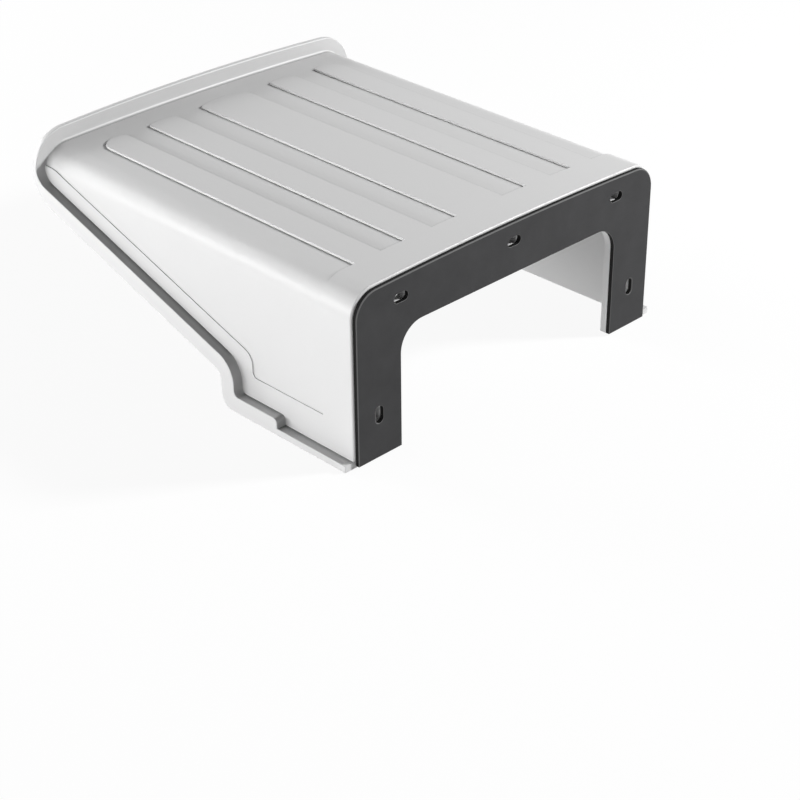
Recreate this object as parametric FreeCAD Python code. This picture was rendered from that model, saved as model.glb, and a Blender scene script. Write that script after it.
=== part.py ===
import FreeCAD, Part
import math
import os

# Rain hood for a camera that is fixed to a wall, with its rubber wall pad.
# Millimetres. The wall is the plane y = 0, the hood runs out from it towards -Y, and +Z is up.
# The origin lies on the wall, midway between the two outer top slots.
# A "distance" is measured from the wall towards the front, so it is -y.

# Hood body
hood_width = 222.0              # across the side walls, rim left out
hood_length = 249.0             # wall to the front of the lip
foot_drop = 84.1                # slot line down to the feet
top_rise = 13.6                 # slot line up to the crown at the rear edge
top_slope = 0.7                 # degrees that the top rises towards the front
crown_radius = 2400.0           # slight arch of the top across its width
shoulder_radius = 15.0
rear_edge_radius = 1.0          # rounding of the hood's edge next to the pad
wall_thickness = 3.4            # under the raised faces
relief_depth = 1.1              # raised faces of the top stand this far above the recessed ones
side_relief = 0.65              # the same on the side walls

# Wall pad and the flange that it sits on
pad_thickness = 2.5
pad_inset = 1.2                 # pad edge inside the hood's edge, feet included
pad_edge_radius = 0.8
flange_thickness = 4.0
cutout_width = 160.6            # inverted U that clears the bracket on the wall
cutout_height = 67.9            # above the feet
cutout_radius = 14.5

# Screw slots through the flange and the pad
slot_length = 9.5
slot_width = 5.0
top_slot_spacing = 160.0
middle_slot_raise = 1.8         # above the line of the two outer slots
side_slot_spacing = 190.6
side_slot_drop = 58.7           # below the slot line

# Rim that stands out all round the open edge
rim_reach = 6.0                 # out from the side walls
rim_depth = 10.0                # along the walls, from the open edge to the ledge
toe_depth = 9.4                 # the same at the front of each foot
foot_ledge = 3.9                # thinner rim at the rear of each foot
foot_ledge_end = 52.5           # distance where the rim steps up to its full depth
step_radius = 2.5
lip_rise = 8.3                  # front lip above the crown
lip_thickness = 3.5
lip_crown_radius = 1700.0
lip_corner_radius = 22.0

# Open edge, seen from the side
drop_distance = 95.3            # upright run in front of the foot
slant_rise = 19.8               # feet to the corner where the slant starts
slant_angle = 18.2              # degrees above level
heel_radius = 8.0
bend_radius = 5.2
nose_radius = 20.0
ledge_heel_radius = 3.0
ledge_nose_radius = 9.0

# Relief on the top
rear_band = 24.1                # distance where the raised rear band ends
strip_end = 224.6               # distance where the raised strips end
centre_strip = 33.4             # widths, from the middle outwards
inner_channel = 18.2
middle_strip = 18.9
outer_channel = 16.2
outer_strip = 17.3
centre_bow = 3.0                # bulge of a strip's rounded front end
side_bow = 1.8
strip_corner_radius = 10.0      # outer front corner of the outer strips

# Raised border above the rim on each side, seen from the side. Its slant is parallel to the open edge's.
border_height = 21.9            # above the feet, along the foot
border_setback = 18.8           # upright run behind the open edge's upright run
border_slant_rise = 34.3        # feet to the corner where the border's slant starts
border_front_rise = 87.1        # feet to the level stretch at the front
border_heel_radius = 3.0
border_bend_radius = 8.0
border_nose_radius = 30.0

# Worked out from the sizes above
foot_z = -foot_drop
half_width = hood_width / 2
slope = math.tan(math.radians(top_slope))
slant = math.tan(math.radians(slant_angle))
outer_strip_edge = centre_strip / 2 + inner_channel + middle_strip + outer_channel + outer_strip
body_length = hood_length - pad_thickness
clear = 40.0                    # how far a cutting solid runs past what it cuts
overlap = 1.0                   # how far one solid runs into the next
tolerance = 1e-4                # lengths closer than this count as equal


def crown_at(distance):
    """Height of the raised crown at a distance from the wall."""
    return top_rise + (distance - pad_thickness) * slope


def rounded_face(corners, radii, place):
    """Closed outline through corners, each rounded to its radius, as a face."""
    count = len(corners)
    ends = []
    for i in range(count):
        here = FreeCAD.Vector(*corners[i], 0)
        back = (FreeCAD.Vector(*corners[i - 1], 0) - here).normalize()
        ahead = (FreeCAD.Vector(*corners[(i + 1) % count], 0) - here).normalize()
        half_turn = back.getAngle(ahead) / 2
        run = radii[i] / math.tan(half_turn)
        middle = here + (back + ahead).normalize() * (radii[i] / math.sin(half_turn) - radii[i])
        ends.append((here + back * run, middle, here + ahead * run))
    edges = []
    for i in range(count):
        start, middle, end = ends[i]
        if radii[i] > 0:
            edges.append(Part.Arc(place(start), place(middle), place(end)).toShape())
        following = ends[(i + 1) % count][0]
        if (following - end).Length > tolerance:
            edges.append(Part.makeLine(place(end), place(following)))
    return Part.Face(Part.Wire(edges))


def side_prism(corners, radii):
    """Outline given as (distance, z), run across the whole width of the hood."""
    reach = half_width + rim_reach + clear
    face = rounded_face(corners, radii, lambda p: FreeCAD.Vector(-reach, -p.x, p.y))
    return face.extrude(FreeCAD.Vector(2 * reach, 0, 0))


def wall_prism(corners, radii, near, far):
    """Outline given as (x, z), run from one distance to another."""
    face = rounded_face(corners, radii, lambda p: FreeCAD.Vector(p.x, -near, p.y))
    return face.extrude(FreeCAD.Vector(0, near - far, 0))


def arch_face(half, crown, arch_radius, corner_radius, bottom, distance):
    """Upright section of the hood: two side walls, two shoulders and the arched top."""
    reach = half - corner_radius
    arch_centre = crown - arch_radius
    shoulder_z = arch_centre + math.sqrt((arch_radius - corner_radius) ** 2 - reach ** 2)
    turn = math.atan2(reach, shoulder_z - arch_centre)
    join = (reach + corner_radius * math.sin(turn), shoulder_z + corner_radius * math.cos(turn))
    bulge_turn = (turn + math.pi / 2) / 2
    bulge = (reach + corner_radius * math.sin(bulge_turn),
             shoulder_z + corner_radius * math.cos(bulge_turn))

    def at(x, z):
        return FreeCAD.Vector(x, -distance, z)

    edges = [
        Part.makeLine(at(-half, bottom), at(-half, shoulder_z)),
        Part.Arc(at(-half, shoulder_z), at(-bulge[0], bulge[1]), at(-join[0], join[1])).toShape(),
        Part.Arc(at(-join[0], join[1]), at(0, crown), at(join[0], join[1])).toShape(),
        Part.Arc(at(join[0], join[1]), at(bulge[0], bulge[1]), at(half, shoulder_z)).toShape(),
        Part.makeLine(at(half, shoulder_z), at(half, bottom)),
        Part.makeLine(at(half, bottom), at(-half, bottom)),
    ]
    return Part.Face(Part.Wire(edges))


def hood_prism(side_depth, top_depth, near, far):
    """The hood's section, some depth inside its raised faces, run along the sloping top."""
    face = arch_face(half_width - side_depth, crown_at(near) - top_depth, crown_radius - top_depth,
                     shoulder_radius - side_depth, foot_z - clear, near)
    return face.extrude(FreeCAD.Vector(0, near - far, (far - near) * slope))


def face_outline(solid, distance):
    """Edges round a solid's upright face at a distance from the wall, its bottom line left out."""
    found = []
    for edge in solid.Edges:
        box = edge.BoundBox
        flat = abs(box.YMin + distance) < tolerance and abs(box.YMax + distance) < tolerance
        if flat and box.ZMax > foot_z + clear / 2:
            found.append(edge)
    return found


def rim_prism():
    """The rim's outer faces, run along the sloping top."""
    face = arch_face(half_width + rim_reach, crown_at(pad_thickness) + lip_rise,
                     lip_crown_radius, lip_corner_radius, foot_z - clear, pad_thickness)
    return face.extrude(FreeCAD.Vector(0, -body_length, body_length * slope))


def open_edge_corners():
    """Corners of the open edge from the foot to the lip, as (distance, z), and their radii."""
    slant_length = hood_length - drop_distance
    corners = [
        (drop_distance, foot_z),
        (drop_distance, foot_z + slant_rise),
        (hood_length, foot_z + slant_rise + slant_length * slant),
    ]
    return corners, [heel_radius, bend_radius, nose_radius]


def side_region():
    """All that lies above the open edge."""
    corners, radii = open_edge_corners()
    top = crown_at(hood_length) + lip_rise + clear
    outline = [(pad_thickness, foot_z)] + corners + [(hood_length, top), (pad_thickness, top)]
    return side_prism(outline, [0] + radii + [0, 0])


def ledge_region():
    """The part of that region that is left once the rim's band is taken off its edge."""
    top = crown_at(hood_length) + lip_rise + 2 * clear
    upright = drop_distance - rim_depth
    lip_back = hood_length - lip_thickness
    lift = rim_depth / math.cos(math.radians(slant_angle))
    slant_start = foot_z + slant_rise + lift + (upright - drop_distance) * slant
    outline = [
        (pad_thickness - clear, foot_z + foot_ledge),
        (foot_ledge_end, foot_z + foot_ledge),
        (foot_ledge_end, foot_z + toe_depth),
        (upright, foot_z + toe_depth),
        (upright, slant_start),
        (lip_back, slant_start + (lip_back - upright) * slant),
        (lip_back, top),
        (pad_thickness - clear, top),
    ]
    radii = [0, 0, step_radius, ledge_heel_radius, bend_radius + rim_depth, ledge_nose_radius, 0, 0]
    return side_prism(outline, radii)


def rim():
    """The band round the open edge, with the upright lip at the front."""
    return rim_prism().common(side_region()).cut(ledge_region())


def strip_prism(inner, outer, bow, corner_radius=0.0):
    """One raised strip, seen from above, between two x values, with a rounded front end."""
    low = foot_z
    middle = (inner + outer) / 2
    start = overlap - rear_band
    points = {
        "rear_inner": (inner, start),
        "rear_outer": (outer, start),
        "front_outer": (outer, -strip_end),
        "front_inner": (inner, -strip_end),
    }
    at = {name: FreeCAD.Vector(x, y, low) for name, (x, y) in points.items()}
    crest = FreeCAD.Vector(middle, -strip_end - bow, low)
    edges = [
        Part.makeLine(at["rear_inner"], at["rear_outer"]),
        Part.makeLine(at["rear_outer"], at["front_outer"]),
        Part.Arc(at["front_outer"], crest, at["front_inner"]).toShape(),
        Part.makeLine(at["front_inner"], at["rear_inner"]),
    ]
    height = crown_at(hood_length) + lip_rise + clear - low
    solid = Part.Face(Part.Wire(edges)).extrude(FreeCAD.Vector(0, 0, height))
    if corner_radius > 0:
        corner = [e for e in solid.Edges if is_upright_at(e, at["front_outer"])]
        solid = solid.makeFillet(corner_radius, corner)
    return solid


def is_upright_at(edge, point):
    """Whether an edge is the vertical line through a point."""
    ends = [v.Point for v in edge.Vertexes]
    return all(math.hypot(p.x - point.x, p.y - point.y) < tolerance for p in ends)


def strips():
    """The five raised strips of the top."""
    inner_edge = centre_strip / 2 + inner_channel
    outer_edge = inner_edge + middle_strip + outer_channel
    solids = [strip_prism(-centre_strip / 2, centre_strip / 2, centre_bow)]
    for side in (-1, 1):
        solids.append(strip_prism(side * inner_edge, side * (inner_edge + middle_strip), side_bow))
        solids.append(strip_prism(side * outer_edge, side * outer_strip_edge, side_bow,
                                  strip_corner_radius))
    return solids


def border_region():
    """Side view of the raised border above the rim."""
    upright = drop_distance - border_setback
    slant_start = foot_z + border_slant_rise
    level = foot_z + border_front_rise
    nose = upright + (level - slant_start) / slant
    outline = [
        (-clear, foot_z - clear),
        (-clear, foot_z + border_height),
        (upright, foot_z + border_height),
        (upright, slant_start),
        (nose, level),
        (hood_length + clear, level),
        (hood_length + clear, foot_z - clear),
    ]
    return side_prism(outline, [0, 0, border_heel_radius, border_bend_radius, border_nose_radius, 0, 0])


def raised_faces():
    """Everything on the outside that stands above the recessed level."""
    outer = hood_prism(0, 0, pad_thickness, hood_length)
    band = hood_prism(0, 0, pad_thickness, rear_band)
    band = band.makeFillet(rear_edge_radius, face_outline(band, pad_thickness))
    reach = half_width + clear
    border = outer.common(border_region())
    border = border.cut(Part.makeBox(2 * reach, rear_band - overlap, 2 * reach,
                                     FreeCAD.Vector(-reach, overlap - rear_band, foot_z - reach)))
    pieces = [band, border]
    pieces += [outer.common(strip) for strip in strips()]
    return pieces


def cutout(near, far):
    """The inverted U through the flange or the pad."""
    half = cutout_width / 2
    top = foot_z + cutout_height
    corners = [(-half, foot_z - clear), (-half, top), (half, top), (half, foot_z - clear)]
    return wall_prism(corners, [0, cutout_radius, cutout_radius, 0], near, far)


def slot(x, z, upright, near, far):
    """One round-ended slot about a centre, lying across the hood or standing upright."""
    radius = slot_width / 2
    reach = slot_length / 2 - radius
    low, high = -math.pi / 2, math.pi / 2

    def at(along, across):
        if upright:
            return FreeCAD.Vector(x + across, -near, z + along)
        return FreeCAD.Vector(x + along, -near, z + across)

    def end(side):
        points = [at(side * (reach + radius * math.cos(t)), radius * math.sin(t)) for t in (low, 0, high)]
        return Part.Arc(*points).toShape()

    edges = [
        end(1),
        Part.makeLine(at(reach, radius), at(-reach, radius)),
        end(-1),
        Part.makeLine(at(-reach, -radius), at(reach, -radius)),
    ]
    face = Part.Face(Part.Wire(Part.__sortEdges__(edges)))
    return face.extrude(FreeCAD.Vector(0, near - far, 0))


def screw_slots(near, far):
    """All five slots: three across the top and an upright one in each leg."""
    cuts = [slot(0, middle_slot_raise, False, near, far)]
    for side in (-1, 1):
        cuts.append(slot(side * top_slot_spacing / 2, 0, False, near, far))
        cuts.append(slot(side * side_slot_spacing / 2, -side_slot_drop, True, near, far))
    return cuts


def hood_shell():
    """The moulded hood: relief, rim and lip outside, smooth inside, flange at the rear."""
    body = hood_prism(side_relief, relief_depth, rear_band / 2, hood_length)
    body = body.fuse(raised_faces())
    body = body.common(side_region()).fuse(rim())
    flange_front = pad_thickness + flange_thickness
    cut_end = flange_front + overlap
    cavity = hood_prism(wall_thickness, wall_thickness, flange_front, hood_length + clear)
    cuts = [cavity, cutout(-clear, cut_end), below_flange(cut_end)] + screw_slots(-clear, cut_end)
    return body.cut(cuts).removeSplitter()


def below_flange(far):
    """Space under the flange's legs, which end level with the pad."""
    half = half_width - wall_thickness
    corner = FreeCAD.Vector(-half, -far, foot_z - clear)
    return Part.makeBox(2 * half, far + clear, clear + pad_inset, corner)


def wall_pad():
    """The rubber pad on the rear flange, with its outer edge on the wall side rounded."""
    face = arch_face(half_width - pad_inset, top_rise - pad_inset, crown_radius - pad_inset,
                     shoulder_radius - pad_inset, foot_z + pad_inset, 0)
    plate = face.extrude(FreeCAD.Vector(0, -pad_thickness, 0))
    plate = plate.makeFillet(pad_edge_radius, face_outline(plate, 0))
    cuts = [cutout(-clear, pad_thickness + clear)] + screw_slots(-clear, pad_thickness + clear)
    return plate.cut(cuts).removeSplitter()


def export(name, shape):
    """Write one sub-part as a STEP file of its solids."""
    solids = shape.Solids
    result = solids[0] if len(solids) == 1 else Part.makeCompound(solids)
    result.exportStep("parts/" + name + ".step")
    print(name, "solids", len(solids), "valid", result.isValid(), "volume", round(result.Volume))


os.makedirs("parts", exist_ok=True)
export("hood_shell", hood_shell())
export("wall_pad", wall_pad())
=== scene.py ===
import math

import bmesh
import bpy
from bpy.props import FloatProperty, FloatVectorProperty, IntProperty, PointerProperty
from mathutils import Matrix, Vector


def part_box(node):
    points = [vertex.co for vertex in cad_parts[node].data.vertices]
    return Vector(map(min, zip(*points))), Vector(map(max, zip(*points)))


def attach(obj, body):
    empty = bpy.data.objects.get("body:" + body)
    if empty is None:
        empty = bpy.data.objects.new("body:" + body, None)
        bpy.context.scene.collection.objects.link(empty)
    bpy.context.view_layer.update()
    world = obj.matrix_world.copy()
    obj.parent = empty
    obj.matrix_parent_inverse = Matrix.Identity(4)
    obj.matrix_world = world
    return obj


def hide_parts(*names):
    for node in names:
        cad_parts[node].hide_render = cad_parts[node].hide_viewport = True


bl_info = {
    "name": "Camera Rain Hood",
    "version": (1, 0, 0),
    "blender": (4, 5, 0),
    "location": "3D View > Sidebar > Rain Hood",
    "description": "Dresses a moulded camera hood and its rubber wall pad, and sets them on a pale stage",
    "category": "Object",
}

# The frame: the wall is the plane y = 0, the hood runs out towards -Y and +Z is up, in metres.
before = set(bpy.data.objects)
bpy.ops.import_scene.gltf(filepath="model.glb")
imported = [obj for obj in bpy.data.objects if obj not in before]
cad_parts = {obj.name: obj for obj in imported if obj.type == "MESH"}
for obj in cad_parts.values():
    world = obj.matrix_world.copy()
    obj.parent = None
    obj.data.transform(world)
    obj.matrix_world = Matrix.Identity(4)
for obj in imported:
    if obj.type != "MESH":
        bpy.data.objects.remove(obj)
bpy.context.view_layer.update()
MM = 0.001
BODY = "root"

# Places that the frame gives
HOOD_LOW, HOOD_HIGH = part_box("hood_shell")
HOOD_MIDDLE = (HOOD_LOW + HOOD_HIGH) / 2
PAD_LOW, PAD_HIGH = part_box("wall_pad")

# Limits that the mesh work goes by
SAME_POINT = 0.002 * MM             # corners of the hood nearer than this are one
PAD_SEAM = 0.001 * MM               # and so are those of the pad's faces
NEAR = 0.05 * MM                    # places nearer than this are level with each other
ON_PLANE = 0.01 * MM                # points nearer than this to a plane lie on it
FLAT_ANGLE = math.radians(0.05)     # faces that turn less than this make one flat face
SHARP_ANGLE = math.radians(30)      # edges that turn more than this are rounded
CREASE_ANGLE = math.radians(40)     # edges of the lip's cove that turn more than this stay sharp
PAD_EDGE_ANGLE = math.radians(50)   # edges of the pad that turn more than this are rounded
CROWN_LOW = 10 * MM                 # the pad's upper edge lies above this, and its slots below it

# Points along the arcs of the pad's outline
CROWN_STEPS, CORNER_STEPS, SLOT_STEPS = 8, 16, 8
SLOT_ROUND = 0.4999                 # a slot's corner radius by its width: just under half of it

# Sizes of the patches and grains in the two finishes
GLOSS_PATCH, MOULD_GRAIN = 40 * MM, 0.9 * MM
BLOOM_PATCH, CLOTH_GRAIN = 18 * MM, 0.5 * MM
NOISE_RANGE = (0.3, 0.7)            # most of a noise's values lie between these two

# Parts of a face's direction between which a painted shade or highlight fades in
SHADE_FACING_UP = (0.8, 0.98)                 # along Z, for the painted corner shade on the hood
STEEP = (0.15, 0.5)                 # along X, for the painted highlight on the walls of its strips
PAD_FACE = (0.3, 0.5)               # along Y, for the pad's faces against the painted shade of its edges
PAD_ROUND = (0.97, 0.99)            # along Y, for its faces against the painted highlight of its rounded corners

# The lamps: bearing and height in degrees, then distance, width and depth in metres
LAMPS = {
    "key": (228, 31, 1.5, 0.18, 0.18),
    "side": (69, 7, 1.3, 1.1, 0.2),
    "rear": (110, 7, 1.3, 0.8, 0.2),
    "front": (15, 14, 1.5, 0.8, 0.4),
}
SENSOR_WIDTH = 36.0                 # in millimetres, like the lens


def linear(hex_colour):
    """An sRGB hex colour as linear red, green and blue."""
    channels = [int(hex_colour[i:i + 2], 16) / 255 for i in (1, 3, 5)]
    return [c / 12.92 if c <= 0.04045 else ((c + 0.055) / 1.055) ** 2.4 for c in channels]


# Settings that a user would change


class HoodSettings(bpy.types.PropertyGroup):
    edge_radius: FloatProperty(
        name="Edge Radius", description="Rounding of the moulded edges of the relief and the openings",
        default=0.25 * MM, min=0.05 * MM, unit="LENGTH")
    rim_radius: FloatProperty(
        name="Rim Radius", description="Rounding of the rim's outer edges down both sides",
        default=0.5 * MM, min=0.05 * MM, unit="LENGTH")
    rim_band: FloatProperty(
        name="Rim Band", description="Edges this near the hood's outermost sides belong to the rim",
        default=1 * MM, unit="LENGTH")
    lip_edge_radius: FloatProperty(
        name="Lip Edge Radius", description="Rounding of the front lip's upper edges",
        default=0.9 * MM, min=0.05 * MM, unit="LENGTH")
    fillet_radius: FloatProperty(
        name="Lip Fillet", description="Hollow rounding where the front lip stands on the top",
        default=1.5 * MM, min=0.1 * MM, unit="LENGTH")
    fillet_end: FloatProperty(
        name="Fillet End", description="Half width over which that rounding keeps its full size",
        default=85 * MM, unit="LENGTH")
    fillet_fall: FloatProperty(
        name="Fillet Fall", description="How fast it shrinks beyond that, 1 to end at the hood's side",
        default=1.25)
    fillet_sink: FloatProperty(
        name="Fillet Sink", description="Depth to which that rounding is set into the faces beside it",
        default=0.04 * MM, unit="LENGTH")
    fillet_steps: IntProperty(
        name="Fillet Steps", description="Facets across that rounding", default=6, min=2, max=12)
    lip_thickness: FloatProperty(
        name="Lip Thickness", description="Front to back size of the lip, which says where its foot runs",
        default=3.5 * MM, unit="LENGTH")
    segments: IntProperty(
        name="Edge Segments", description="Facets across each rounded edge", default=3, min=1, max=6)


class PadSettings(bpy.types.PropertyGroup):
    thickness: FloatProperty(
        name="Thickness", description="Rubber between the wall and the hood's flange",
        default=PAD_HIGH.y - PAD_LOW.y, unit="LENGTH")
    shoulder_radius: FloatProperty(
        name="Shoulder Radius", description="Rounding of the pad's two upper corners",
        default=13.8 * MM, unit="LENGTH")
    crown_radius: FloatProperty(
        name="Crown Radius", description="Slight arch of the pad's upper edge",
        default=2398.8 * MM, unit="LENGTH")
    cutout_width: FloatProperty(
        name="Cut-out Width", description="Gap that clears the bracket on the wall",
        default=160.6 * MM, unit="LENGTH")
    cutout_top: FloatProperty(
        name="Cut-out Top", description="Top of that gap, below the line of the outer top slots",
        default=-16.2 * MM, unit="LENGTH")
    cutout_radius: FloatProperty(
        name="Cut-out Radius", description="Rounding of the gap's upper corners",
        default=14.5 * MM, unit="LENGTH")
    slot_length: FloatProperty(
        name="Slot Length", description="End to end size of a screw slot", default=9.5 * MM, unit="LENGTH")
    slot_width: FloatProperty(
        name="Slot Width", description="Width of a screw slot", default=5.0 * MM, unit="LENGTH")
    top_slot_spacing: FloatProperty(
        name="Top Slot Spacing", description="Between the two outer slots of the top row",
        default=160.0 * MM, unit="LENGTH")
    middle_slot_raise: FloatProperty(
        name="Middle Slot Raise", description="Middle slot above the line of the other two",
        default=1.8 * MM, unit="LENGTH")
    side_slot_spacing: FloatProperty(
        name="Side Slot Spacing", description="Between the upright slots of the two legs",
        default=190.6 * MM, unit="LENGTH")
    side_slot_drop: FloatProperty(
        name="Side Slot Drop", description="Upright slots below the line of the top row",
        default=58.7 * MM, unit="LENGTH")
    edge_radius: FloatProperty(
        name="Edge Radius", description="Rounding of the pad's outer edge against the wall",
        default=0.8 * MM, unit="LENGTH")
    cut_radius: FloatProperty(
        name="Cut Edge Radius", description="Softening of all its other edges",
        default=0.25 * MM, unit="LENGTH")
    face_margin: FloatProperty(
        name="Face Margin", description="Band round each flat face that keeps the edge roundings even",
        default=1.2 * MM, unit="LENGTH")
    segments: IntProperty(
        name="Edge Segments", description="Facets across each rounded edge", default=3, min=1, max=6)


class FinishSettings(bpy.types.PropertyGroup):
    hood_colour: FloatVectorProperty(
        name="Hood Colour", description="White of the moulded plastic", subtype="COLOR",
        default=linear("#F0F0F0"), min=0.0, max=1.0)
    hood_roughness: FloatProperty(
        name="Hood Roughness", description="Satin gloss of the mould's surface",
        default=0.38, min=0.0, max=1.0, subtype="FACTOR")
    hood_bounce: FloatProperty(
        name="Hood Bounce", description="Share of its light that the plastic passes on to what is near it",
        default=0.08, min=0.0, max=1.0, subtype="FACTOR")
    # Reach and strength of the painted corner shade, drawn from ambient occlusion on faces that look up.
    corner_shade_reach: FloatProperty(
        name="Corner Shade Reach", description="Width of the painted shade along the foot of each step",
        default=3.0 * MM, unit="LENGTH")
    corner_shade_strength: FloatProperty(
        name="Corner Shade Strength", description="How much the painted shade darkens the hollow corners",
        default=1.8, min=0.0)
    # Where the painted white highlight on the strips' walls lies.
    highlight_half_width: FloatProperty(
        name="Highlight Half Width", description="The painted highlight on the strips' walls lies nearer the middle than this",
        default=90 * MM, unit="LENGTH")
    highlight_height: FloatProperty(
        name="Highlight Height", description="The painted highlight on the strips' walls lies higher than this",
        default=8 * MM, unit="LENGTH")
    pad_colour: FloatVectorProperty(
        name="Pad Colour", description="Dull black of the rubber's faces", subtype="COLOR",
        default=linear("#424243"), min=0.0, max=1.0)
    # Painted near-black shade on the pad's edges and slots, and a painted lighter grey highlight on its
    # rounded corners.
    pad_edge_shade_colour: FloatVectorProperty(
        name="Pad Edge Shade Colour", description="Painted near-black shade on the rubber's edges and slots", subtype="COLOR",
        default=linear("#050505"), min=0.0, max=1.0)
    pad_highlight_colour: FloatVectorProperty(
        name="Pad Highlight Colour", description="Painted lighter grey highlight on the rubber's rounded corners",
        subtype="COLOR", default=linear("#787878"), min=0.0, max=1.0)
    pad_roughness: FloatProperty(
        name="Pad Roughness", description="Dull surface of the rubber",
        default=0.72, min=0.0, max=1.0, subtype="FACTOR")
    floor_colour: FloatVectorProperty(
        name="Floor Colour", description="Pale paper under the hood", subtype="COLOR",
        default=linear("#F6F6F6"), min=0.0, max=1.0)


class StageSettings(bpy.types.PropertyGroup):
    azimuth: FloatProperty(
        name="Camera Azimuth", description="Camera's bearing, 0 in front of the hood and 90 on its +X side",
        default=math.radians(135.58), subtype="ANGLE")
    elevation: FloatProperty(
        name="Camera Elevation", description="Camera's height above the horizon",
        default=math.radians(30.72), subtype="ANGLE")
    roll: FloatProperty(
        name="Camera Roll", description="Turn of the camera about its own axis",
        default=math.radians(-0.56), subtype="ANGLE")
    distance: FloatProperty(
        name="Camera Distance", description="Camera to the point that it looks at",
        default=933 * MM, unit="LENGTH")
    target: FloatVectorProperty(
        name="Camera Target", description="Point at the middle of the picture",
        default=(66.14 * MM, -15.65 * MM, -69.32 * MM), subtype="TRANSLATION")
    lens: FloatProperty(
        name="Lens", description="Focal length on a sensor 36 mm wide, in millimetres", default=83.17)
    key_power: FloatProperty(
        name="Key Light", description="Light from behind the far side, in watts", default=19.4)
    side_power: FloatProperty(
        name="Side Light", description="Low soft light on the near side, in watts", default=8.8)
    rear_power: FloatProperty(
        name="Rear Light", description="Low soft light from behind the near side, in watts", default=2.1)
    front_power: FloatProperty(
        name="Front Light", description="Low soft light in front of the hood, in watts", default=13.6)
    ambient: FloatProperty(
        name="Ambient", description="Even light from the room", default=0.0)
    floor_reach: FloatProperty(
        name="Floor Reach", description="Half width of the pale floor", default=4.0, unit="LENGTH")
    floor_glow: FloatProperty(
        name="Floor Glow", description="Brightness of the floor where the camera sees it", default=1.04)
    shadow_share: FloatProperty(
        name="Floor Shadow", description="How much of the hood's shadow the pale floor shows",
        default=0.12, min=0.0, max=1.0, subtype="FACTOR")


# Node trees


def add_node(tree, kind, settings=None, inputs=None):
    """Add a node, set its own settings, and set or link its inputs by name or number."""
    node = tree.nodes.new(kind)
    for name, value in (settings or {}).items():
        setattr(node, name, value)
    for key, value in (inputs or {}).items():
        socket = node.inputs[key]
        if isinstance(value, bpy.types.NodeSocket):
            tree.links.new(value, socket)
        else:
            socket.default_value = value
    return node


def maths(tree, operation, first, second=0.0):
    """The result of one sum on two numbers or sockets."""
    return add_node(tree, "ShaderNodeMath", {"operation": operation}, {0: first, 1: second}).outputs[0]


def spread(tree, value, low, high, to_low=0.0, to_high=1.0):
    """A stretch of values laid over another one, and held at its ends."""
    return add_node(tree, "ShaderNodeMapRange", None, {
        "Value": value, "From Min": low, "From Max": high,
        "To Min": to_low, "To Max": to_high}).outputs["Result"]


def noise(tree, place, size, detail, roughness):
    """Soft random patches of a real size."""
    return add_node(tree, "ShaderNodeTexNoise", None, {
        "Vector": place, "Scale": 1 / size, "Detail": detail, "Roughness": roughness}).outputs["Fac"]


def blend(tree, first, second, share=1.0, mode="MULTIPLY"):
    """Two colours multiplied or mixed."""
    return add_node(tree, "ShaderNodeMix", {"data_type": "RGBA", "blend_type": mode}, {
        "Factor": share, "A": first, "B": second}).outputs["Result"]


def parts_of(tree, socket):
    """The X, Y and Z of a vector socket."""
    return add_node(tree, "ShaderNodeSeparateXYZ", None, {"Vector": socket}).outputs


def vector(tree, x=0.0, y=0.0, z=0.0):
    """A vector of three numbers or sockets."""
    return add_node(tree, "ShaderNodeCombineXYZ", None, {"X": x, "Y": y, "Z": z}).outputs[0]


def seen_rays(tree):
    """1 for the rays that show a surface itself: to the camera, in a gloss or through glass."""
    rays = add_node(tree, "ShaderNodeLightPath").outputs
    seen = maths(tree, "MAXIMUM", rays["Is Camera Ray"], rays["Is Glossy Ray"])
    return maths(tree, "MAXIMUM", seen, rays["Is Transmission Ray"])


def new_material(name):
    """An empty node material with its output."""
    material = bpy.data.materials.new(name)
    material.use_nodes = True
    material.node_tree.nodes.clear()
    output = material.node_tree.nodes.new("ShaderNodeOutputMaterial")
    return material, material.node_tree, output


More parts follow.
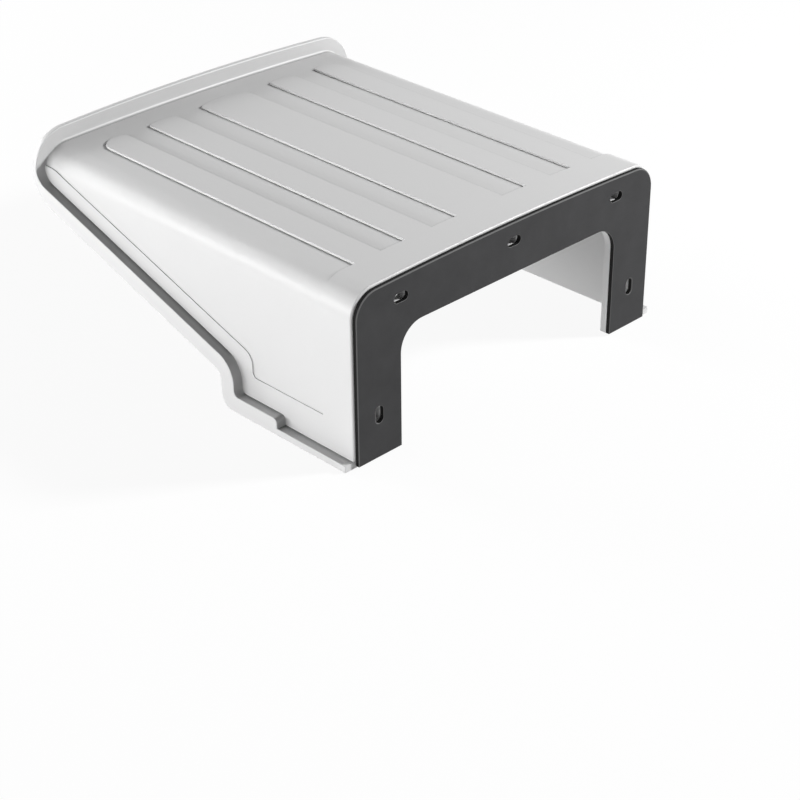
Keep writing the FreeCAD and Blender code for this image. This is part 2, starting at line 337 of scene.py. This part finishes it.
def moulded_abs(finish):
    """White ABS from a lightly textured mould: a neutral white with a satin gloss, painted shade in upward
    hollows and a painted highlight on the strips' walls.
    """
    material, tree, output = new_material("moulded_abs_white")
    given = add_node(tree, "ShaderNodeTexCoord").outputs
    place = given["Object"]
    spot, normal = parts_of(tree, place), parts_of(tree, given["Normal"])

    # Flow and handling give the gloss broad soft patches, about 40 mm across.
    patches = noise(tree, place, GLOSS_PATCH, 3.0, 0.5)
    gloss = spread(tree, patches, *NOISE_RANGE,
                   finish.hood_roughness - 0.03, finish.hood_roughness + 0.04)
    shade = spread(tree, patches, *NOISE_RANGE, 0.985, 1.0)
    tone = blend(tree, (*finish.hood_colour, 1.0), shade)

    # The mould's spark-eroded texture is about 0.3 mm across. It is drawn at 0.9 mm, so that it shows.
    texture = noise(tree, place, MOULD_GRAIN, 2.0, 0.6)
    bump = add_node(tree, "ShaderNodeBump", None, {
        "Height": texture, "Strength": 0.25, "Distance": 0.02 * MM})

    # Painted shade: faces that look up are darkened by their ambient occlusion, along the foot of each step
    # and in other hollow corners.
    hollow = add_node(tree, "ShaderNodeAmbientOcclusion", {"samples": 8, "only_local": True}, {
        "Distance": finish.corner_shade_reach})
    corner_shade = maths(tree, "POWER", hollow.outputs["AO"], finish.corner_shade_strength)
    tone = blend(tree, tone, corner_shade, spread(tree, normal["Z"], *SHADE_FACING_UP))

    # Painted highlight: the strips' steep walls are mixed to pure white, whiter than the rest.
    on_top = maths(tree, "MULTIPLY",
                   maths(tree, "LESS_THAN", maths(tree, "ABSOLUTE", spot["X"]), finish.highlight_half_width),
                   maths(tree, "GREATER_THAN", spot["Z"], finish.highlight_height))
    steep = spread(tree, maths(tree, "ABSOLUTE", normal["X"]), *STEEP)
    tone = blend(tree, tone, (1.0, 1.0, 1.0, 1.0), maths(tree, "MULTIPLY", steep, on_top), "MIX")

    # Little light passes from the side walls to the ledges, so the hollows keep their depth.
    bounced = add_node(tree, "ShaderNodeLightPath").outputs["Is Diffuse Ray"]
    tone = blend(tree, tone, spread(tree, bounced, 0.0, 1.0, 1.0, finish.hood_bounce))
    shader = add_node(tree, "ShaderNodeBsdfPrincipled", None, {
        "Base Color": tone, "Roughness": gloss, "Normal": bump.outputs["Normal"], "IOR": 1.52})
    tree.links.new(shader.outputs["BSDF"], output.inputs["Surface"])
    return material


def black_rubber(finish):
    """Pressed synthetic rubber: its faces bloom to a dull dark grey, with painted near-black shade on its
    edges and a painted grey highlight on its rounded corners.
    """
    material, tree, output = new_material("pressed_rubber_black")
    given = add_node(tree, "ShaderNodeTexCoord").outputs
    place = given["Object"]

    # The bloom makes the faces a little uneven, in patches about 18 mm across.
    bloom = noise(tree, place, BLOOM_PATCH, 4.0, 0.6)
    tone = blend(tree, (*finish.pad_colour, 1.0), spread(tree, bloom, *NOISE_RANGE, 0.88, 1.08))

    # The faces point along Y, and every edge of the pad, slots too, points across it.
    # The rounded corners between them get a painted highlight of lighter grey, and the edges a painted
    # near-black shade.
    facing = maths(tree, "ABSOLUTE", parts_of(tree, given["Normal"])["Y"])
    highlighted = spread(tree, facing, *PAD_ROUND, 1.0, 0.0)
    tone = blend(tree, tone, (*finish.pad_highlight_colour, 1.0), highlighted, "MIX")
    tone = blend(tree, (*finish.pad_edge_shade_colour, 1.0), tone, spread(tree, facing, *PAD_FACE), "MIX")

    # Cloth-pressed grain, 0.5 mm apart, breaks up the little gloss that the rubber has.
    grain = noise(tree, place, CLOTH_GRAIN, 3.0, 0.65)
    rough = spread(tree, grain, *NOISE_RANGE,
                   finish.pad_roughness - 0.06, finish.pad_roughness + 0.08)
    bump = add_node(tree, "ShaderNodeBump", None, {
        "Height": grain, "Strength": 0.5, "Distance": 0.06 * MM})
    shader = add_node(tree, "ShaderNodeBsdfPrincipled", None, {
        "Base Color": tone, "Roughness": rough, "Normal": bump.outputs["Normal"],
        "IOR": 1.52, "Specular IOR Level": 0.2})
    tree.links.new(shader.outputs["BSDF"], output.inputs["Surface"])
    return material


# Mesh helpers


def new_object(name, mesh):
    """An object at the origin, linked to the scene."""
    thing = bpy.data.objects.new(name, mesh)
    bpy.context.scene.collection.objects.link(thing)
    return thing


def apply_modifiers(thing):
    """Turn an object with modifiers into a plain mesh."""
    graph = bpy.context.evaluated_depsgraph_get()
    mesh = bpy.data.meshes.new_from_object(thing.evaluated_get(graph))
    thing.modifiers.clear()
    thing.data = mesh
    return thing


def round_edges(thing, width, segments):
    """Round the edges of an object by their weights, and keep the flat faces flat to the eye."""
    bevel = thing.modifiers.new("Rounded Edges", "BEVEL")
    bevel.limit_method = "WEIGHT"
    bevel.width = width
    bevel.segments = segments
    bevel.use_clamp_overlap = False
    normals = thing.modifiers.new("Flat Faces", "WEIGHTED_NORMAL")
    normals.mode = "FACE_AREA"
    normals.weight = 100
    normals.keep_sharp = True
    return apply_modifiers(thing)


# The hood


def edge_rounding(edge, settings):
    """Rounding of a sharp edge: larger on the rim's outer edges, and largest along the lip's top."""
    if not edge.is_convex:
        return settings.edge_radius
    first, second = edge.verts[0].co, edge.verts[1].co
    if max(first.y, second.y) < HOOD_LOW.y + settings.lip_thickness + NEAR:
        from_middle = (first + second) / 2 - HOOD_MIDDLE
        sides = [f.normal for f in edge.link_faces if abs(f.normal.y) < 0.5]
        outward = any(n.x * from_middle.x + n.z * from_middle.z > 0 for n in sides)
        along = second - first
        if outward and abs(along.y) < NEAR:
            level = 1 - math.atan2(abs(along.z), abs(along.x)) / (math.pi / 2)
            return settings.rim_radius + (settings.lip_edge_radius - settings.rim_radius) * level
    if min(abs(first.x), abs(second.x)) > HOOD_HIGH.x - settings.rim_band:
        return settings.rim_radius
    return settings.edge_radius


def lip_foot(shell, settings):
    """Points of the hollow corner behind the lip, from one side over the top to the other."""
    back = HOOD_LOW.y + settings.lip_thickness
    points = set()
    for edge in shell.edges:
        on_back = all(abs(v.co.y - back) < ON_PLANE for v in edge.verts)
        if on_back and not edge.is_convex and edge.calc_face_angle(0.0) > SHARP_ANGLE:
            points.update(edge.verts)
    return sorted((v.co.copy() for v in points), key=lambda p: math.atan2(p.x, p.z - HOOD_LOW.z))


def fillet_radius_at(x, settings):
    """Radius of the lip's cove: full over the middle, and falling to that of an edge at the sides."""
    run = max(abs(x) - settings.fillet_end, 0) / (HOOD_HIGH.x - settings.fillet_end)
    fall = math.cos(math.pi / 2 * min(settings.fillet_fall * run, 1))
    return settings.edge_radius + (settings.fillet_radius - settings.edge_radius) * max(fall, 0)


def add_fillet(shell, foot, settings):
    """Lay a cove along the lip's foot, sunk a little into both faces and smaller towards its ends."""
    steps, sink = settings.fillet_steps, settings.fillet_sink
    turns = [math.pi / 2 * k / steps for k in range(steps + 1)]
    rings = []
    for i, place in enumerate(foot):
        along = foot[min(i + 1, len(foot) - 1)] - foot[max(i - 1, 0)]
        up = Vector((-along.z, 0, along.x)).normalized()
        radius = fillet_radius_at(place.x, settings)
        curve = [(radius * (1 - math.sin(a)), radius * (1 - math.cos(a))) for a in turns]
        profile = [(radius, -sink)] + curve + [(-sink, radius), (-sink, -sink)]
        rings.append([shell.verts.new(place + up * u + Vector((0, v, 0))) for u, v in profile])
    count = len(rings[0])
    faces = [shell.faces.new((first[k], first[(k + 1) % count], second[(k + 1) % count], second[k]))
             for first, second in zip(rings, rings[1:]) for k in range(count)]
    faces += [shell.faces.new(rings[0][::-1]), shell.faces.new(rings[-1])]
    bmesh.ops.recalc_face_normals(shell, faces=faces)
    for face in faces:
        face.smooth = True
        for edge in face.edges:
            edge.smooth = edge.calc_face_angle(0.0) < CREASE_ANGLE


def merged_shell(settings):
    """A copy of the CAD hood with merged faces, weighted sharp edges and the lip's cove."""
    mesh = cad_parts["hood_shell"].data.copy()
    shell = bmesh.new()
    shell.from_mesh(mesh)
    bmesh.ops.remove_doubles(shell, verts=shell.verts, dist=SAME_POINT)
    bmesh.ops.dissolve_limit(shell, angle_limit=FLAT_ANGLE, verts=shell.verts, edges=shell.edges)
    largest = max(settings.edge_radius, settings.rim_radius, settings.lip_edge_radius)
    weight = shell.edges.layers.float.new("bevel_weight_edge")
    for edge in shell.edges:
        if edge.calc_face_angle(0.0) > SHARP_ANGLE:
            edge[weight] = edge_rounding(edge, settings) / largest
        edge.smooth = True
    for face in shell.faces:
        face.smooth = True
    add_fillet(shell, lip_foot(shell, settings), settings)
    shell.to_mesh(mesh)
    shell.free()
    mesh.materials.clear()
    return mesh, largest


class RAINHOOD_OT_shell(bpy.types.Operator):
    """Dress the moulded hood with its rounded edges and its plastic."""
    bl_idname = "rainhood.shell"
    bl_label = "Build Hood"

    def execute(self, context):
        settings = context.scene.rain_hood
        mesh, largest = merged_shell(settings)
        hood = new_object("moulded_hood", mesh)
        mesh.materials.append(moulded_abs(context.scene.rain_hood_finish))
        round_edges(hood, largest, settings.segments)
        # A rounding that meets the lip's front at a shallow angle stays behind its plane.
        for vertex in hood.data.vertices:
            vertex.co.y = max(vertex.co.y, HOOD_LOW.y)
        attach(hood, BODY)
        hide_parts("hood_shell")
        return {"FINISHED"}


# The wall pad


def arc_points(centre, radius, start, end, count):
    """Points along an arc, with angles in degrees."""
    angles = [math.radians(start + (end - start) * i / count) for i in range(count + 1)]
    return [(centre[0] + radius * math.cos(a), centre[1] + radius * math.sin(a)) for a in angles]


def pad_outline(pad):
    """Half of the pad's outline as (x, z), from the top of the crown round to the top of the cut-out."""
    half = PAD_HIGH.x
    reach = half - pad.shoulder_radius
    arch_centre = PAD_HIGH.z - pad.crown_radius
    shoulder_z = arch_centre + math.sqrt((pad.crown_radius - pad.shoulder_radius) ** 2 - reach ** 2)
    turn = math.degrees(math.atan2(shoulder_z - arch_centre, reach))
    points = arc_points((0, arch_centre), pad.crown_radius, 90, turn, CROWN_STEPS)
    points += arc_points((reach, shoulder_z), pad.shoulder_radius, turn, 0, CORNER_STEPS)[1:]
    points += [(half, PAD_LOW.z), (pad.cutout_width / 2, PAD_LOW.z)]
    corner = (pad.cutout_width / 2 - pad.cutout_radius, pad.cutout_top - pad.cutout_radius)
    points += arc_points(corner, pad.cutout_radius, 0, 90, CORNER_STEPS)
    return points


def outline_curve(name, half_outline):
    """A closed curve in its own XY plane, mirrored from its +X half."""
    mirrored = [(-x, z) for x, z in reversed(half_outline) if x > SAME_POINT]
    points = half_outline + mirrored
    curve = bpy.data.curves.new(name, "CURVE")
    curve.dimensions = "3D"
    spline = curve.splines.new("POLY")
    spline.points.add(len(points) - 1)
    for point, (x, z) in zip(spline.points, points):
        point.co = (x, z, 0, 1)
    spline.use_cyclic_u = True
    return curve


def slot_rows(tree, given):
    """Outlines of the top row's three slots and of the upright slot in each leg."""
    rectangle = add_node(tree, "GeometryNodeCurvePrimitiveQuadrilateral", None, {
        "Width": given["Slot Length"], "Height": given["Slot Width"]})
    slot = add_node(tree, "GeometryNodeFilletCurve", {"mode": "POLY"}, {
        "Curve": rectangle.outputs["Curve"], "Count": SLOT_STEPS,
        "Radius": maths(tree, "MULTIPLY", given["Slot Width"], SLOT_ROUND)})

    # The top row lies on a line, with the middle slot a little higher.
    half_top = maths(tree, "MULTIPLY", given["Top Slot Spacing"], 0.5)
    row = add_node(tree, "GeometryNodeMeshLine", None, {
        "Count": 3, "Start Location": vector(tree, maths(tree, "MULTIPLY", half_top, -1.0)),
        "Offset": vector(tree, half_top)})
    index = add_node(tree, "GeometryNodeInputIndex").outputs[0]
    middle = add_node(tree, "FunctionNodeCompare", {"data_type": "INT", "operation": "EQUAL"}, {
        "A": index, "B": 1})
    lifted = add_node(tree, "GeometryNodeSetPosition", None, {
        "Geometry": row.outputs[0], "Selection": middle.outputs[0],
        "Offset": vector(tree, 0.0, given["Middle Slot Raise"])})
    top_slots = add_node(tree, "GeometryNodeInstanceOnPoints", None, {
        "Points": lifted.outputs[0], "Instance": slot.outputs["Curve"]})

    half_side = maths(tree, "MULTIPLY", given["Side Slot Spacing"], 0.5)
    drop = maths(tree, "MULTIPLY", given["Side Slot Drop"], -1.0)
    pair = add_node(tree, "GeometryNodeMeshLine", None, {
        "Count": 2, "Start Location": vector(tree, maths(tree, "MULTIPLY", half_side, -1.0), drop),
        "Offset": vector(tree, given["Side Slot Spacing"])})
    side_slots = add_node(tree, "GeometryNodeInstanceOnPoints", None, {
        "Points": pair.outputs[0], "Instance": slot.outputs["Curve"], "Rotation": (0, 0, math.pi / 2)})
    return top_slots.outputs[0], side_slots.outputs[0]


def joined(tree, sources):
    """Several geometries as one."""
    join = add_node(tree, "GeometryNodeJoinGeometry")
    for source in sources:
        tree.links.new(source, join.inputs[0])
    return join.outputs[0]


def slotted_pad_tree():
    """Geometry nodes that punch rows of slots in a flat outline and give it its thickness."""
    tree = bpy.data.node_groups.new("Slotted Pad", "GeometryNodeTree")
    tree.is_modifier = True
    sockets = tree.interface
    sockets.new_socket("Geometry", in_out="INPUT", socket_type="NodeSocketGeometry")
    for name in ("Thickness", "Slot Length", "Slot Width", "Top Slot Spacing", "Middle Slot Raise",
                 "Side Slot Spacing", "Side Slot Drop"):
        sockets.new_socket(name, in_out="INPUT", socket_type="NodeSocketFloat")
    sockets.new_socket("Material", in_out="INPUT", socket_type="NodeSocketMaterial")
    sockets.new_socket("Geometry", in_out="OUTPUT", socket_type="NodeSocketGeometry")
    given = add_node(tree, "NodeGroupInput").outputs

    # Fill the outline round the slots and turn it upright.
    outlines = joined(tree, (given["Geometry"], *slot_rows(tree, given)))
    single = add_node(tree, "GeometryNodeRealizeInstances", None, {"Geometry": outlines})
    flat = add_node(tree, "GeometryNodeFillCurve", {"mode": "TRIANGLES"}, {"Curve": single.outputs[0]})
    upright = add_node(tree, "GeometryNodeTransform", None, {
        "Geometry": flat.outputs[0], "Rotation": (math.pi / 2, 0, 0)})

    # Thicken it towards the hood, and close it on the wall's side.
    depth = maths(tree, "MULTIPLY", given["Thickness"], -1.0)
    pushed = add_node(tree, "GeometryNodeExtrudeMesh", None, {
        "Mesh": upright.outputs[0], "Offset": vector(tree, 0.0, depth), "Offset Scale": 1.0,
        "Individual": False})
    wall_side = add_node(tree, "GeometryNodeFlipFaces", None, {"Mesh": upright.outputs[0]})
    closed = add_node(tree, "GeometryNodeMergeByDistance", None, {
        "Geometry": joined(tree, (pushed.outputs["Mesh"], wall_side.outputs[0])), "Distance": PAD_SEAM})

    # Make it a plain mesh of rubber.
    plain = add_node(tree, "GeometryNodeRealizeInstances", None, {"Geometry": closed.outputs[0]})
    painted = add_node(tree, "GeometryNodeSetMaterial", None, {
        "Geometry": plain.outputs[0], "Material": given["Material"]})
    add_node(tree, "NodeGroupOutput", None, {"Geometry": painted.outputs[0]})
    return tree


def set_inputs(modifier, tree, values):
    """Give a node modifier its inputs, found by their names and set by their identifiers."""
    for item in tree.interface.items_tree:
        if item.in_out == "INPUT" and item.name in values:
            modifier[item.identifier] = values[item.name]


def weigh_pad_edges(mesh, pad):
    """Give the outer edge on the wall its full rounding and every other sharp edge a small one."""
    work = bmesh.new()
    work.from_mesh(mesh)
    bmesh.ops.dissolve_limit(work, angle_limit=FLAT_ANGLE, verts=work.verts, edges=work.edges)
    flat = [f for f in work.faces if abs(f.normal.y) > 0.99]
    for side in (1, -1):
        faces = [f for f in flat if f.normal.y * side > 0]
        bmesh.ops.inset_region(
            work, faces=faces, thickness=pad.face_margin, use_even_offset=True, use_boundary=True)
    weight = work.edges.layers.float.new("bevel_weight_edge")
    side_start = PAD_HIGH.x - pad.shoulder_radius
    for edge in work.edges:
        if edge.calc_face_angle(0.0) < PAD_EDGE_ANGLE:
            continue
        at_wall = all(v.co.y > -ON_PLANE for v in edge.verts)
        outside = all(abs(v.co.x) > side_start or v.co.z > CROWN_LOW for v in edge.verts)
        edge[weight] = 1.0 if at_wall and outside else pad.cut_radius / pad.edge_radius
    for face in work.faces:
        face.smooth = True
    work.to_mesh(mesh)
    work.free()


class RAINHOOD_OT_pad(bpy.types.Operator):
    """Make the rubber wall pad from its outline and its rows of slots."""
    bl_idname = "rainhood.pad"
    bl_label = "Build Wall Pad"

    def execute(self, context):
        pad = context.scene.rain_hood_pad
        outline = new_object("pad_outline", outline_curve("pad_outline", pad_outline(pad)))
        tree = slotted_pad_tree()
        modifier = outline.modifiers.new("Slotted Pad", "NODES")
        modifier.node_group = tree
        set_inputs(modifier, tree, {
            "Thickness": pad.thickness, "Slot Length": pad.slot_length, "Slot Width": pad.slot_width,
            "Top Slot Spacing": pad.top_slot_spacing, "Middle Slot Raise": pad.middle_slot_raise,
            "Side Slot Spacing": pad.side_slot_spacing, "Side Slot Drop": pad.side_slot_drop,
            "Material": black_rubber(context.scene.rain_hood_finish),
        })
        graph = context.evaluated_depsgraph_get()
        mesh = bpy.data.meshes.new_from_object(outline.evaluated_get(graph))
        bpy.data.objects.remove(outline)
        if not mesh.polygons:
            raise RuntimeError("the wall pad's nodes made no faces")
        weigh_pad_edges(mesh, pad)
        piece = new_object("rubber_wall_pad", mesh)
        round_edges(piece, pad.edge_radius, pad.segments)
        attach(piece, BODY)
        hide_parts("wall_pad")
        return {"FINISHED"}


# The stage


def direction(azimuth, elevation):
    """Unit vector from the object towards a bearing and a height above the horizon."""
    level = math.cos(elevation)
    return Vector((math.sin(azimuth) * level, -math.cos(azimuth) * level, math.sin(elevation)))


def aim(thing, target, roll=0.0):
    """Turn a camera or a light towards a point."""
    turned = (target - thing.location).to_track_quat("-Z", "Y")
    thing.rotation_euler = (turned.to_matrix() @ Matrix.Rotation(roll, 3, "Z")).to_euler()


def pale_floor(finish, stage):
    """Pale paper: white where the camera or a gloss sees it, with a share of the object's shadow."""
    material, tree, output = new_material("pale_paper_floor")
    paper = add_node(tree, "ShaderNodeBsdfDiffuse", None, {"Color": (*finish.floor_colour, 1.0)})
    white = add_node(tree, "ShaderNodeEmission", None, {
        "Color": (1, 1, 1, 1), "Strength": stage.floor_glow})
    share = maths(tree, "MULTIPLY", seen_rays(tree), 1.0 - stage.shadow_share)
    mixed = add_node(tree, "ShaderNodeMixShader", None, {
        0: share, 1: paper.outputs[0], 2: white.outputs[0]})
    tree.links.new(mixed.outputs[0], output.inputs["Surface"])
    return material


def room_light(stage):
    """Even light from the room, seen as white."""
    world = bpy.data.worlds.new("pale_room")
    world.use_nodes = True
    tree = world.node_tree
    tree.nodes.clear()
    strength = spread(tree, seen_rays(tree), 0.0, 1.0, stage.ambient, 1.0)
    background = add_node(tree, "ShaderNodeBackground", None, {
        "Color": (1, 1, 1, 1), "Strength": strength})
    add_node(tree, "ShaderNodeOutputWorld", None, {"Surface": background.outputs[0]})
    return world


def soft_light(name, bearing, height, distance, width, depth, power):
    """A rectangular area light that looks at the middle of the hood."""
    lamp = bpy.data.lights.new(name, "AREA")
    lamp.shape = "RECTANGLE"
    lamp.size = width
    lamp.size_y = depth
    lamp.energy = power
    thing = new_object(name, lamp)
    thing.location = HOOD_MIDDLE + direction(math.radians(bearing), math.radians(height)) * distance
    aim(thing, HOOD_MIDDLE)


class RAINHOOD_OT_stage(bpy.types.Operator):
    """Set the pale floor, the lights and the camera."""
    bl_idname = "rainhood.stage"
    bl_label = "Build Stage"

    def execute(self, context):
        scene = context.scene
        stage = scene.rain_hood_stage
        reach = stage.floor_reach
        signs = ((-1, -1), (1, -1), (1, 1), (-1, 1))
        mesh = bpy.data.meshes.new("floor")
        mesh.from_pydata([(x * reach, y * reach, HOOD_LOW.z) for x, y in signs], [], [(0, 1, 2, 3)])
        floor = new_object("floor", mesh)
        mesh.materials.append(pale_floor(scene.rain_hood_finish, stage))
        scene.world = room_light(stage)
        for name, place in LAMPS.items():
            soft_light(f"{name}_light", *place, getattr(stage, f"{name}_power"))

        lens = bpy.data.cameras.new("camera")
        lens.sensor_width = SENSOR_WIDTH
        lens.lens = stage.lens
        camera = new_object("camera", lens)
        target = Vector(stage.target)
        camera.location = target + direction(stage.azimuth, stage.elevation) * stage.distance
        aim(camera, target, stage.roll)
        scene.camera = camera
        scene.view_settings.view_transform = "Standard"
        return {"FINISHED"}


# The sidebar panel and the add-on's registration


class RAINHOOD_PT_panel(bpy.types.Panel):
    """List the hood's pieces with their settings."""
    bl_idname = "RAINHOOD_PT_panel"
    bl_label = "Rain Hood"
    bl_space_type = "VIEW_3D"
    bl_region_type = "UI"
    bl_category = "Rain Hood"

    def draw(self, context):
        scene = context.scene
        rows = (
            (scene.rain_hood, RAINHOOD_OT_shell),
            (scene.rain_hood_pad, RAINHOOD_OT_pad),
            (scene.rain_hood_stage, RAINHOOD_OT_stage),
        )
        for settings, operator in rows:
            box = self.layout.box()
            for name in settings.__annotations__:
                box.prop(settings, name)
            box.operator(operator.bl_idname)
        box = self.layout.box()
        for name in scene.rain_hood_finish.__annotations__:
            box.prop(scene.rain_hood_finish, name)


CLASSES = (
    HoodSettings, PadSettings, FinishSettings, StageSettings,
    RAINHOOD_OT_shell, RAINHOOD_OT_pad, RAINHOOD_OT_stage, RAINHOOD_PT_panel,
)
SETTINGS = {
    "rain_hood": HoodSettings,
    "rain_hood_pad": PadSettings,
    "rain_hood_finish": FinishSettings,
    "rain_hood_stage": StageSettings,
}


def register():
    for item in CLASSES:
        bpy.utils.register_class(item)
    for name, group in SETTINGS.items():
        setattr(bpy.types.Scene, name, PointerProperty(type=group))


def unregister():
    for name in SETTINGS:
        delattr(bpy.types.Scene, name)
    for item in reversed(CLASSES):
        bpy.utils.unregister_class(item)


def main():
    register()
    bpy.ops.rainhood.shell()
    bpy.ops.rainhood.pad()
    bpy.ops.rainhood.stage()


if __name__ == "__main__":
    main()
